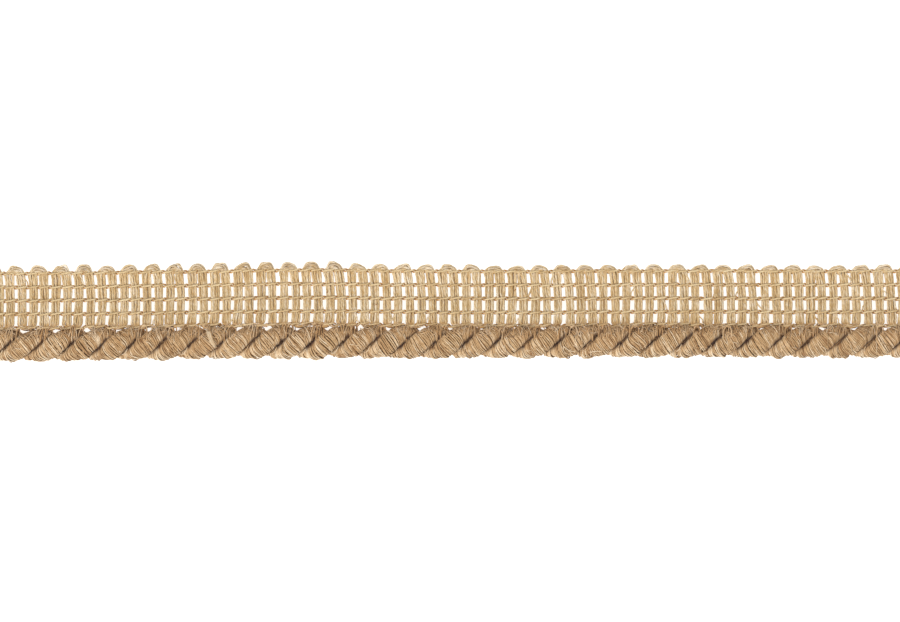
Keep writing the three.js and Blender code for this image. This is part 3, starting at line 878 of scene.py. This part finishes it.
def warp_row(index, row):
    """Two threads twined round the bundles: over one and under the next."""
    sets = []
    for thread in (0, 1):
        points = []
        for k in range(-1, BUNDLES):
            if k < 0:
                x = LEFT_X + 0.05
                points.append((x, row["rise"] + (1 if thread else -1) * row["spread"] * 0.8, WEFT_Z))
                continue
            x = column_x(k, row["rise"]) + 0.6 * bundle_shift[k]
            x += 0.11 * float(wander(k * 1.1 + index * 9, 160))
            over = 1 if (k + thread) % 2 == 0 else -1
            drift = (0.36 if index == 4 else 0.13) * float(wander(k * (1.15 if index == 4 else 0.8) + index * 31, 161))
            flat = 1.0 + 0.15 * float(wander(k * 1.9 + thread * 5 + index * 7, 162))
            # an upper thread climbs to the right, a lower one falls
            for dx, dy, up in ((-0.34, -0.55, 0.86), (0.0, 0.0, 1.0), (0.34, 0.55, 0.86)):
                points.append((x + dx * PITCH, row["rise"] + drift + over * dy * row["spread"], WEFT_Z + over * up * WARP_RISE * flat))
            if k < BUNDLES - 1:
                points.append((x + 0.5 * PITCH, row["rise"] + drift * 0.6 + over * row["spread"] * 1.05, WEFT_Z + 0.03 * over))
            else:
                points.append((min(x + 0.5 * PITCH, RIGHT_X - 0.05), row["rise"] + over * row["spread"], WEFT_Z))
        p = np.array(points)
        p = p[np.concatenate([[True], np.diff(p[:, 0]) > 0.05])]
        p[:, 0] = np.clip(p[:, 0], LEFT_X + 0.03, RIGHT_X - 0.03)
        path = spline(on_lip(p[:, 0], p[:, 1], p[:, 2])[None], 3)
        n = path.shape[1]
        t = np.arange(n) / 12.0
        seed = 200 + 10 * index + thread
        radius = WARP * (1 + 0.08 * wander(t * 1.9, seed) + 0.05 * wander(t * 5.0, seed + 3))
        radius = radius * (0.84 + 0.14 * wander(t * 0.6, seed + 5) if index == 4 else 1.0)
        tone = 0.02 + 0.55 * wander(t * 0.9, seed + 1) + 0.3 * wander(t * 0.2, seed + 2)
        rise = path[0, :, 1] - lip_y(path[0, :, 0])
        slope = lip_slope(rise)
        lift = (path[0, :, 2] - lip_height(rise)) / np.sqrt(1 + slope**2)
        # painted shadow: where a thread passes under a bundle it turns orange-brown and a little darker, for the shadow
        # of the crossing thread; the lowest row is darker all along
        low = 1 - step(WEFT_Z - 0.06, WEFT_Z + 0.34, lift)
        warm = np.clip(0.04 + 0.90 * low + (0.08 if index == 4 else 0.0), 0, 1)
        shade = 0.05 * low + (0.10 if index == 4 else 0.0) + 0.10 * np.maximum(0, wander(t * 0.8, seed + 4))
        sets.append(strand(path, radius[None], up_from_lip(path), 6, tone[None], shade[None], warm[None], chunk=24))
    return sets


def flecks():
    """Dark bits of plant stalk spun into the yarn."""
    where = ((-27.7, 4.25, 0.24), (-16.6, 1.50, 0.20), (14.7, 4.75, 0.30), (52.3, -1.7, 0.16), (-71.0, 2.6, 0.15))
    rng = np.random.default_rng(8)
    sets = []
    for x, y, size in where:
        turn = rng.uniform(0, math.pi)
        t = np.linspace(-1, 1, 6)
        rise = y - float(lip_y(x))
        at = on_lip(np.array([x]), np.array([rise]), np.array([1.0]))[0]
        line = at + np.stack([size * t * math.cos(turn), size * t * math.sin(turn), 0.06 * (1 - t * t)], -1)
        sets.append(strand(line[None], (size * 0.55 * np.sqrt(np.maximum(0.05, 1 - t**4)))[None], (0, 0, 1), 6, -1.0, 0.55, 1.0, chunk=5))
    return sets


weft_piece = build("lip_weft", weft(WEFT_OFFSETS, WEFT, 0.0, 0, 5, 3, 0.0, 1.0), WEFT_YARN)
# the layer behind is darkened a little: painted shade behind the front yarns
back_piece = build("lip_weft_back", strays() + weft(BACK_OFFSETS, BACK, 0.27, 1000, 5, 2, 0.08, 0.12), WEFT_YARN)
warp_pieces = []
warp_sets = [warp_row(i, row) for i, row in enumerate(WARP_ROWS)]
warp_piece = build("lip_warp", [g for sets in warp_sets for g in sets] + flecks(), WARP_YARN)

# ---------------------------------------------------------------- join of cord and lip


def cord_edge(x):
    """How far the cord's outline lies from its axis, on the lip's side."""
    edge = np.zeros(np.shape(x))
    for ply in (0, 1):
        t = turned(np.asarray(x, float) - sway("twist", x), ply)
        edge = np.maximum(edge, -PLY_CENTRE * np.sin(t) + np.hypot(PLY_UP * np.sin(t), PLY_ACROSS * np.cos(t)))
    return edge


def over_join(x, y, above):
    """Height over the cord or the lip's foot, whichever is higher."""
    z = top_of_cord(x, y)
    z = float(z) if np.isfinite(z) else 0.0
    rise = y - float(lip_y(x))
    if rise > -8.3:
        z = max(z, float(on_lip(np.array([x]), np.array([rise]), np.array([WEFT_Z + 0.30]))[0, 2]))
    return max(z, 3.7) + above


def in_gap(points):
    """How many of the points lie over the open slits between cord and lip."""
    line = spline(np.array([points]), 3)[0]
    x, y = line[:, 0], line[:, 1]
    return int((np.isnan(top_of_cord(x, y)) & (y - lip_y(x) < -8.25)).sum())


def stitches():
    """Threads from the cord's own winding that are pulled up over the lowest
    warp and back down, one after the other."""
    order = np.argsort(stitch_x)
    sx, sy = stitch_x[order], stitch_y[order]
    rng = np.random.default_rng(600)
    lines, radii, tones, shades, warms = [], [], [], [], []
    for i in range(len(sx) - 1):
        for again in range(2):
            if rng.random() < 0.12:
                continue
            a, b = (sx[i], sy[i]), (sx[i + 1], sy[i + 1])
            if again:
                a = (a[0] + rng.uniform(-0.5, 0.5), a[1] + rng.uniform(-0.2, 0.5))
                b = (a[0] + rng.uniform(0.5, 1.6), a[1] + rng.uniform(-0.4, 0.3))
            middle = 0.5 * (a[0] + b[0]) + rng.normal(0, 0.35)
            top = float(lip_y(middle)) + rng.uniform(-8.15, -7.42)
            wide = rng.uniform(0.10, 0.36)
            points = []
            for x, y, above in (
                (a[0] - 0.12, a[1] - 0.55, -0.45),
                (a[0], a[1], 0.06),
                (0.55 * a[0] + 0.45 * middle - wide * 0.6, 0.5 * (a[1] + top), 0.14),
                (middle - wide, top - 0.12, 0.14),
                (middle + wide, top - 0.05, 0.14),
                (0.55 * b[0] + 0.45 * middle + wide * 0.6, 0.5 * (b[1] + top), 0.14),
                (b[0], b[1], 0.06),
                (b[0] + 0.12, b[1] - 0.55, -0.45),
            ):
                points.append((x, y, over_join(x, y, above)))
            if in_gap(points):
                continue
            lines.append(points)
            radii.append(rng.uniform(0.08, 0.14))
            tones.append(rng.uniform(-0.6, 1.4))
            shades.append(rng.choice([0.0, 0.0, 0.05, 0.20]))
            warms.append(rng.uniform(0.2, 0.7))
    return thread_set(lines, radii, tones, shades, warms, 3)


def thread_set(lines, radii, tones, shades, warms, steps):
    path = spline(np.array(lines), steps)
    n = path.shape[1]
    one = np.ones((1, n))
    spread = lambda a: np.array(a)[:, None] * one
    return [strand(path, spread(radii), (0, 0.2, 1), 5, spread(tones), spread(shades), spread(warms), chunk=n - 1)]


def hooks():
    """Loops of the winding at the upper end of each groove, each with a dark thread inside it as painted shadow in its
    hollow, and a dark thread as the groove's painted shade along the groove's own end, which bends towards the lip."""
    rng = np.random.default_rng(620)
    lines, radii, tones, warms, shades = [], [], [], [], []
    painted_groove_ends, painted_groove_end_radii = [], []
    for n in range(-1, 31):
        groove = float(along(GROOVE_X + n * LAY / 2))
        if not LEFT_X + 3 < groove < RIGHT_X - 5:
            continue
        axis_y = float(cord_y(groove))
        lip = float(lip_y(groove))
        # the groove's end: a dark thread that carries the groove's painted shade up towards the lip
        bend = rng.uniform(-0.4, 0.55)
        points = []
        for dx, dy in ((0.45, 0.36), (0.85, 0.72), (1.08 + 0.2 * bend, 1.10), (1.16 + 0.5 * bend, 1.55), (1.12 + 0.9 * bend, 2.05), (0.98 + 1.2 * bend, 2.60), (0.72 + 1.5 * bend, 3.10)):
            x, y = groove + dx, axis_y + dy
            points.append((x, y, over_join(x, y, 0.0)))
        painted_groove_ends.append(points)
        painted_groove_end_radii.append(rng.uniform(0.08, 0.14))
        for _ in range(rng.integers(3, 6)):
            middle = groove + rng.uniform(0.2, 3.4)
            half = rng.uniform(0.28, 0.85)
            lean = rng.uniform(0.0, 0.7)
            foot_a, foot_b = axis_y + rng.uniform(0.5, 2.2), axis_y + rng.uniform(1.1, 2.4)
            top = max(lip + rng.uniform(-8.35, -7.35), foot_a + 0.8)
            # the inner copy is a dark thread: painted shadow in the loop's hollow
            for inner in (False, True):
                h = half - (0.20 if inner else 0.0)
                t = top - (0.22 if inner else 0.0)
                if h < 0.12:
                    continue
                points = []
                for x, y, above in (
                    (middle - h - lean * 0.9, foot_a - 0.5, -0.35),
                    (middle - h - lean * 0.6, foot_a, 0.10),
                    (middle - h * 0.95 - lean * 0.1, 0.45 * foot_a + 0.55 * t, 0.16),
                    (middle - h * 0.5 + lean * 0.3, t - 0.06, 0.16),
                    (middle + h * 0.5 + lean * 0.35, t, 0.16),
                    (middle + h * 1.05 + lean * 0.2, 0.45 * foot_b + 0.55 * t, 0.16),
                    (middle + h + lean * 0.1, foot_b, 0.08),
                    (middle + h * 0.9, foot_b - 0.5, -0.35),
                ):
                    points.append((x, y, over_join(x, y, above - (0.10 if inner else 0.0))))
                if in_gap(points) > 1:
                    continue
                lines.append(points)
                radii.append(rng.uniform(0.10, 0.16) if not inner else 0.11)
                tones.append(rng.uniform(-0.6, 0.7) if not inner else -0.9)
                warms.append(rng.uniform(0.2, 0.6))
                shades.append(0.0 if not inner else rng.uniform(0.25, 0.6))
        # a loop that hangs over the groove's lower end
        if rng.random() < 0.55:
            shift, size = rng.uniform(-0.3, 0.3), rng.uniform(0.75, 1.15)
            points = []
            for dx, dy, above in ((-0.95, 0.95, -0.3), (-0.75, 0.45, 0.08), (-0.50, -0.10, 0.10), (-0.05, -0.32, 0.12), (0.45, -0.15, 0.12), (0.80, 0.35, 0.10), (1.05, 0.90, 0.04), (1.20, 1.20, -0.3)):
                x, y = groove - 2.05 + shift + dx * size, axis_y - 2.05 + shift + dy * size
                points.append((x, y, over_join(x, y, above)))
            lines.append(points)
            radii.append(rng.uniform(0.08, 0.13))
            tones.append(rng.uniform(0.2, 1.2))
            warms.append(rng.uniform(0.0, 0.3))
            shades.append(0.0)
    # the fold of pale thread that has slipped over the cord
    for i in range(5):
        off = (i - 2) * 0.20
        points = []
        for x, y, above in ((-54.9, -3.5, -0.1), (-54.5, -4.1, 0.20), (-54.15, -4.9, 0.26), (-53.85, -5.8, 0.26), (-53.5, -6.7, 0.22), (-53.05, -7.5, 0.12), (-52.75, -8.0, -0.05), (-52.6, -8.3, -0.4)):
            narrow = 1.0 - 0.5 * abs((y + 5.6) / 2.8) ** 2
            points.append((x + off * narrow, y + 0.3 * off, over_join(x + off * narrow, y, above - 0.03 * (i % 2))))
        lines.append(points)
        radii.append(0.13)
        tones.append((0.3, 1.2, 0.4, 1.0, -0.3)[i])
        warms.append(0.0)
        shades.append(0.0)
    count = len(painted_groove_ends)
    return thread_set(lines, radii, tones, shades, warms, 2) + thread_set(painted_groove_ends, painted_groove_end_radii, [-0.5] * count, [0.78] * count, [0.3] * count, 3)


def tangle():
    """Loose ends of the winding that lie along the join and cross one another."""
    rng = np.random.default_rng(610)
    lines, radii, tones, warms, shades = [], [], [], [], []
    count = 560
    for i in range(count):
        x = LEFT_X + 2 + (RIGHT_X - LEFT_X - 4) * (i + rng.uniform(0, 1)) / count
        half = rng.uniform(0.4, 1.3)
        way = rng.choice([0.85, -0.85, 0.1]) + rng.normal(0, 0.4)
        bend = rng.choice([-0.5, 0.5]) * rng.uniform(0.2, 1.2)
        edge = float(cord_edge(x))
        light = False
        if rng.random() < 0.50:
            y0 = float(cord_y(x)) + rng.uniform(edge - 1.6, edge - 0.15)
        else:
            y0 = float(lip_y(x)) + rng.uniform(-8.25, -7.5)
            way *= 0.6
            light = True
        points = []
        for q in np.linspace(-1, 1, 6):
            px = x + half * q * math.cos(way) - bend * (1 - q * q) * math.sin(way)
            py = y0 + half * q * math.sin(way) + bend * (1 - q * q) * math.cos(way)
            py = min(py, float(lip_y(px)) - 7.42)
            points.append((px, py, over_join(px, py, 0.05 if abs(q) < 0.9 else -0.35)))
        if in_gap(points):
            continue
        lines.append(points)
        radii.append(rng.uniform(0.07, 0.14))
        tones.append(rng.uniform(-0.5, 1.4) + (0.45 if light else 0.0))
        warms.append(rng.uniform(0.1, 0.7))
        # some strands are darkened towards the hollow colour: painted shade in the pits along the join
        shades.append(rng.choice([0.0, 0.0, 0.0, 0.0, 0.25, 0.6]) * (0.5 if light else 1.0))
    return thread_set(lines, radii, tones, shades, warms, 2)


join_piece = build("join_threads", stitches() + hooks() + tangle(), GIMP)

# ---------------------------------------------------------------- what stands for what

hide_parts("strand_1")
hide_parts("strand_2")
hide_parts("lip_tape")

for ply in (0, 1):
    build(f"ply_{ply + 1}_ends", [cut_ends(ply)], WEFT_YARN)

axis_x = np.linspace(LEFT_X, RIGHT_X, 60)
axis = [((x - ORIGIN_X) * MM, (float(cord_y(x)) - ORIGIN_Y) * MM, AXIS_Z * MM) for x in axis_x]

# ---------------------------------------------------------------- floor and light

floor_mesh = bpy.data.meshes.new("floor")
floor_mesh.from_pydata([(-3, -3, 0), (3, -3, 0), (3, 3, 0), (-3, 3, 0)], [], [(0, 1, 2, 3)])
floor_material = bpy.data.materials.new("floor_paper")
floor_material.use_nodes = True
floor_shader = floor_material.node_tree.nodes["Principled BSDF"]
floor_shader.inputs["Base Color"].default_value = (0.45, 0.45, 0.45, 1)
floor_shader.inputs["Roughness"].default_value = 0.9
floor_shader.inputs["Emission Color"].default_value = (1, 0.985, 0.955, 1)
floor_shader.inputs["Emission Strength"].default_value = 0.90
floor_mesh.materials.append(floor_material)
floor = bpy.data.objects.new("floor", floor_mesh)
bpy.context.scene.collection.objects.link(floor)

world = bpy.data.worlds.new("studio")
bpy.context.scene.world = world
world.use_nodes = True
world.node_tree.nodes["Background"].inputs[0].default_value = (1, 1, 1, 1)
world.node_tree.nodes["Background"].inputs[1].default_value = 0.42


def lamp(name, where, size, power):
    data = bpy.data.lights.new(name, "AREA")
    data.shape = "DISK"
    data.size = size
    data.energy = power
    light = bpy.data.objects.new(name, data)
    light.location = where
    direction = -np.array(where, float)
    direction = direction / np.linalg.norm(direction)
    from mathutils import Vector

    light.rotation_euler = Vector(direction).to_track_quat("-Z", "Y").to_euler()
    bpy.context.scene.collection.objects.link(light)
    return light


lamp("key", (-1.0, -0.8, 1.3), 0.7, 26)
lamp("fill", (0.7, 0.9, 1.6), 1.4, 16)

scene = bpy.context.scene
scene.view_settings.view_transform = "Standard"
scene.view_settings.look = "None"
scene.view_settings.exposure = 0.0
scene.view_settings.gamma = 1.0
